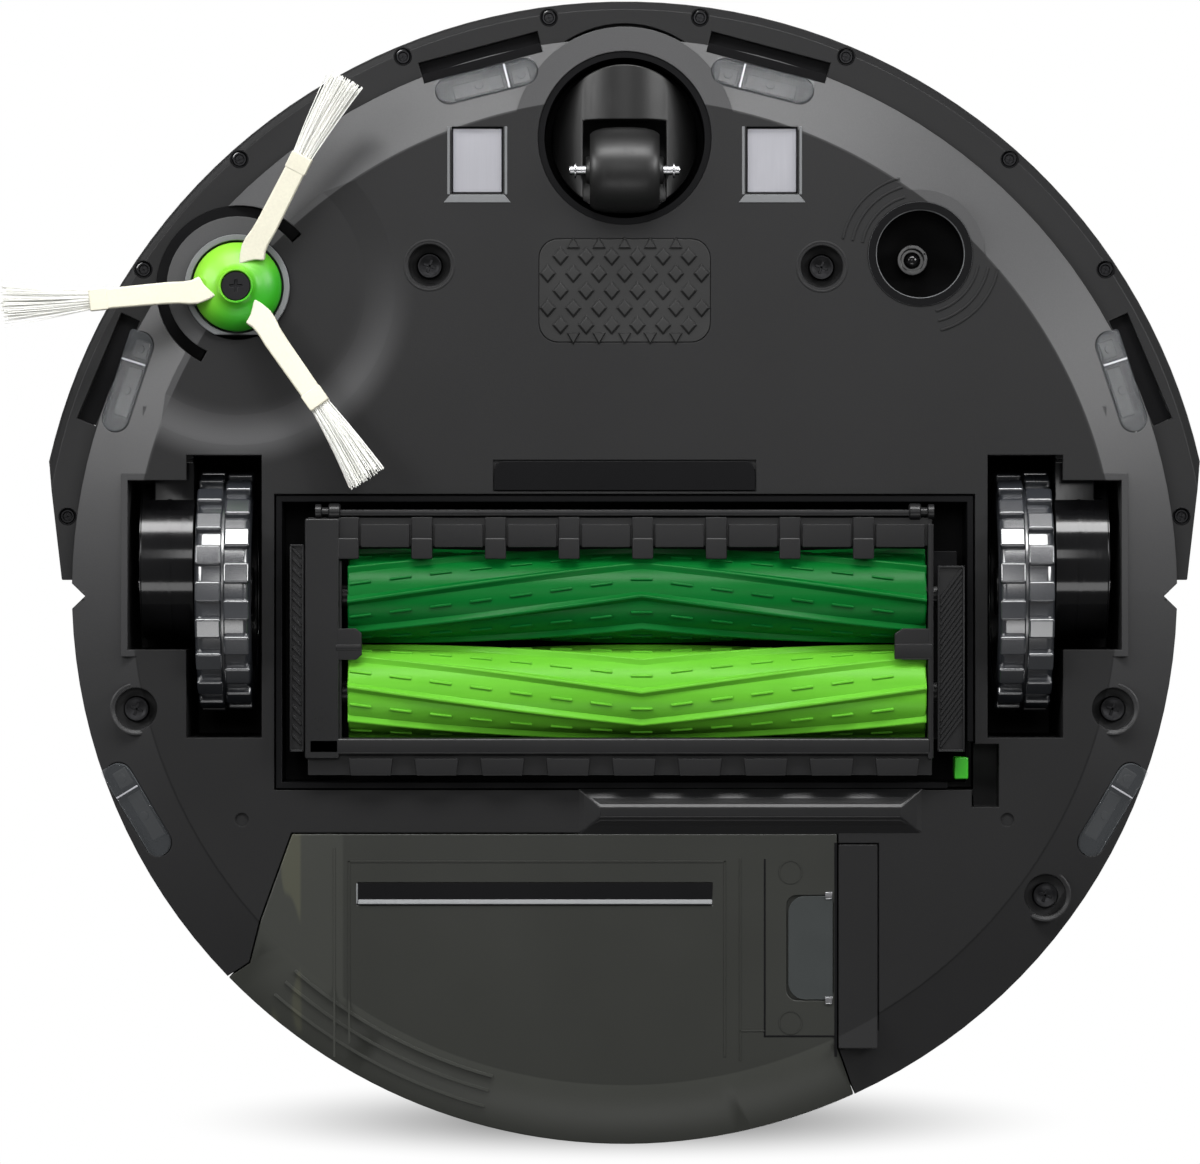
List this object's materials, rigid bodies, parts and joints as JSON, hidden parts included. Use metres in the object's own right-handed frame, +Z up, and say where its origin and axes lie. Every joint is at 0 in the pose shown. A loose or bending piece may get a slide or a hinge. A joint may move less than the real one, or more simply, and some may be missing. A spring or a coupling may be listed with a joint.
{
  "type": "robot vacuum cleaner",
  "caption": "Round floor-cleaning robot with a push bumper, sprung drive wheels, swivel caster, side brush, paired rubber rollers and a slide-out dust bin.",
  "frame": {"origin": "point on the floor midway between the two drive wheels, under the drive axle, which is also the centre of the round body", "axes": "+Z up, -Y the robot's front, +X the robot's left side as it drives"},
  "size_m": [0.3562, 0.341, 0.092],
  "materials": {
    "shell": "satin",
    "cover": "satin",
    "gloss_black": "gloss",
    "silver_plastic": "satin",
    "dark_lens": "gloss",
    "grey_plastic": "satin",
    "frame_black": "satin",
    "steel": "brushed",
    "board_green": "satin",
    "battery_wrap": "gloss",
    "motor_metal": "plain",
    "contact_metal": "brushed",
    "deep_black": "matte",
    "caster_roller": "gloss",
    "pad_rubber": "matte",
    "clear_lens": "clear",
    "screw_black": "black",
    "lime_plastic": "gloss",
    "cream_plastic": "satin",
    "bristle": "satin",
    "green_rubber_dark": "satin",
    "green_rubber_lime": "satin",
    "tyre_rubber": "gloss",
    "smoke": "gloss",
    "filter_media": "pleated",
    "smoke_window": "gloss"
  },
  "bodies": {
    "chassis": {"base_shell": "shell", "top_cover": "cover", "top_plate": "gloss_black", "trim_ring": "silver_plastic", "homing_window": "dark_lens", "handle_pins": "steel", "circuit_board": "board_green", "battery_pack": "battery_wrap", "suction_fan": "motor_metal", "head_motor": "motor_metal", "brush_motor": "grey_plastic", "charge_contacts": "contact_metal", "caster_socket": "deep_black", "grip_pad": "pad_rubber", "sensor_cup": "deep_black", "sensor_lens": "gloss_black", "front_cliff_lenses": "clear_lens", "side_cliff_lenses": "clear_lens", "rear_cliff_lenses": "clear_lens", "base_screws": "screw_black", "label_plate": "deep_black", "side_panel": "shell", "brush_collar": "grey_plastic", "head_frame": "deep_black", "head_catch": "lime_plastic", "left_spring": "steel", "right_spring": "steel"},
    "bumper": {"bumper_shell": "cover", "bumper_window": "dark_lens", "bumper_skirt": "cover", "bumper_screws": "screw_black"},
    "caster_swivel": {"caster_fork": "caster_roller", "caster_axle": "steel"},
    "caster_roll": {"caster_wheel": "caster_roller"},
    "side_brush": {"brush_hub": "lime_plastic", "brush_screw": "screw_black", "brush_arms": "cream_plastic", "brush_bristles": "bristle"},
    "front_sweeper": {"front_roller": "green_rubber_dark", "front_roller_core": "frame_black"},
    "rear_sweeper": {"rear_roller": "green_rubber_lime", "rear_roller_core": "frame_black"},
    "guard": {"roller_guard": "frame_black"},
    "lever": {"release_lever": "frame_black"},
    "left_suspension": {"left_arm": "gloss_black", "left_motor": "motor_metal"},
    "right_suspension": {"right_arm": "gloss_black", "right_motor": "motor_metal"},
    "left_wheel": {"left_tyre": "tyre_rubber", "left_rim": "frame_black"},
    "right_wheel": {"right_tyre": "tyre_rubber", "right_rim": "frame_black"},
    "bin": {"bin_body": "smoke", "bin_filter": "filter_media", "bin_window": "smoke_window"},
    "release_key": {"bin_button": "grey_plastic"},
    "handle": {"carry_handle": "frame_black"},
    "clean_key": {"main_button": "silver_plastic"},
    "left_key": {"left_button": "grey_plastic"},
    "right_key": {"right_button": "grey_plastic"}
  },
  "joints": [
    {"name": "bumper_push", "type": "slide", "parent": "chassis", "child": "bumper", "axis": [0, 1, 0], "range_m": [0, 0.003], "stiffness_N_per_m": 800, "springref_m": -0.003},
    {"name": "caster_turn", "type": "hinge", "parent": "chassis", "child": "caster_swivel", "pos_m": [0, -0.1345, 0.03], "axis": [0, 0, 1], "continuous": true},
    {"name": "caster_spin", "type": "hinge", "parent": "caster_swivel", "child": "caster_roll", "pos_m": [0, -0.1249, 0.0128], "axis": [1, 0, 0], "continuous": true},
    {"name": "side_brush_spin", "type": "hinge", "parent": "chassis", "child": "side_brush", "pos_m": [-0.1149, -0.0903, 0.01], "axis": [0, 0, 1], "continuous": true},
    {"name": "front_roller_spin", "type": "hinge", "parent": "chassis", "child": "front_sweeper", "pos_m": [0, 0.0013, 0.0165], "axis": [1, 0, 0], "continuous": true},
    {"name": "rear_roller_spin", "type": "hinge", "parent": "chassis", "child": "rear_sweeper", "pos_m": [0, 0.0298, 0.0165], "axis": [1, 0, 0], "continuous": true},
    {"name": "guard_swing", "type": "hinge", "parent": "chassis", "child": "guard", "pos_m": [0, -0.0236, 0.0075], "axis": [-1, 0, 0], "range_deg": [0, 95]},
    {"name": "lever_press", "type": "slide", "parent": "guard", "child": "lever", "axis": [-1, 0, 0], "range_m": [0, 0.0008], "stiffness_N_per_m": 400, "springref_m": -0.001},
    {"name": "left_suspension_swing", "type": "hinge", "parent": "chassis", "child": "left_suspension", "pos_m": [0.136, -0.044, 0.028], "axis": [-1, 0, 0], "range_deg": [0, 28], "stiffness_Nm_per_rad": 0.3, "springref_deg": 57.3, "deforming": ["left_spring"]},
    {"name": "right_suspension_swing", "type": "hinge", "parent": "chassis", "child": "right_suspension", "pos_m": [-0.136, -0.044, 0.028], "axis": [-1, 0, 0], "range_deg": [0, 28], "stiffness_Nm_per_rad": 0.3, "springref_deg": 57.3, "deforming": ["right_spring"]},
    {"name": "left_wheel_spin", "type": "hinge", "parent": "left_suspension", "child": "left_wheel", "pos_m": [0.1188, 0, 0.036], "axis": [1, 0, 0], "continuous": true},
    {"name": "right_wheel_spin", "type": "hinge", "parent": "right_suspension", "child": "right_wheel", "pos_m": [-0.1188, 0, 0.036], "axis": [1, 0, 0], "continuous": true},
    {"name": "bin_slide", "type": "slide", "parent": "chassis", "child": "bin", "axis": [0, 1, 0], "range_m": [0, 0.11]},
    {"name": "bin_release", "type": "slide", "parent": "bin", "child": "release_key", "axis": [0, -1, 0], "range_m": [0, 0.002], "stiffness_N_per_m": 300, "springref_m": -0.002},
    {"name": "handle_lift", "type": "hinge", "parent": "chassis", "child": "handle", "pos_m": [0, 0.071, 0.085], "axis": [1, 0, 0], "range_deg": [0, 85]},
    {"name": "clean_button", "type": "slide", "parent": "chassis", "child": "clean_key", "axis": [0, 0, -1], "range_m": [0, 0.001], "stiffness_N_per_m": 800, "springref_m": -0.0015},
    {"name": "left_button_press", "type": "slide", "parent": "chassis", "child": "left_key", "axis": [0, 0, -1], "range_m": [0, 0.001], "stiffness_N_per_m": 600, "springref_m": -0.0015},
    {"name": "right_button_press", "type": "slide", "parent": "chassis", "child": "right_key", "axis": [0, 0, -1], "range_m": [0, 0.001], "stiffness_N_per_m": 600, "springref_m": -0.0015}
  ],
  "couplings": [
    {"joint": "rear_roller_spin", "follows": "front_roller_spin", "ratio": -1}
  ]
}
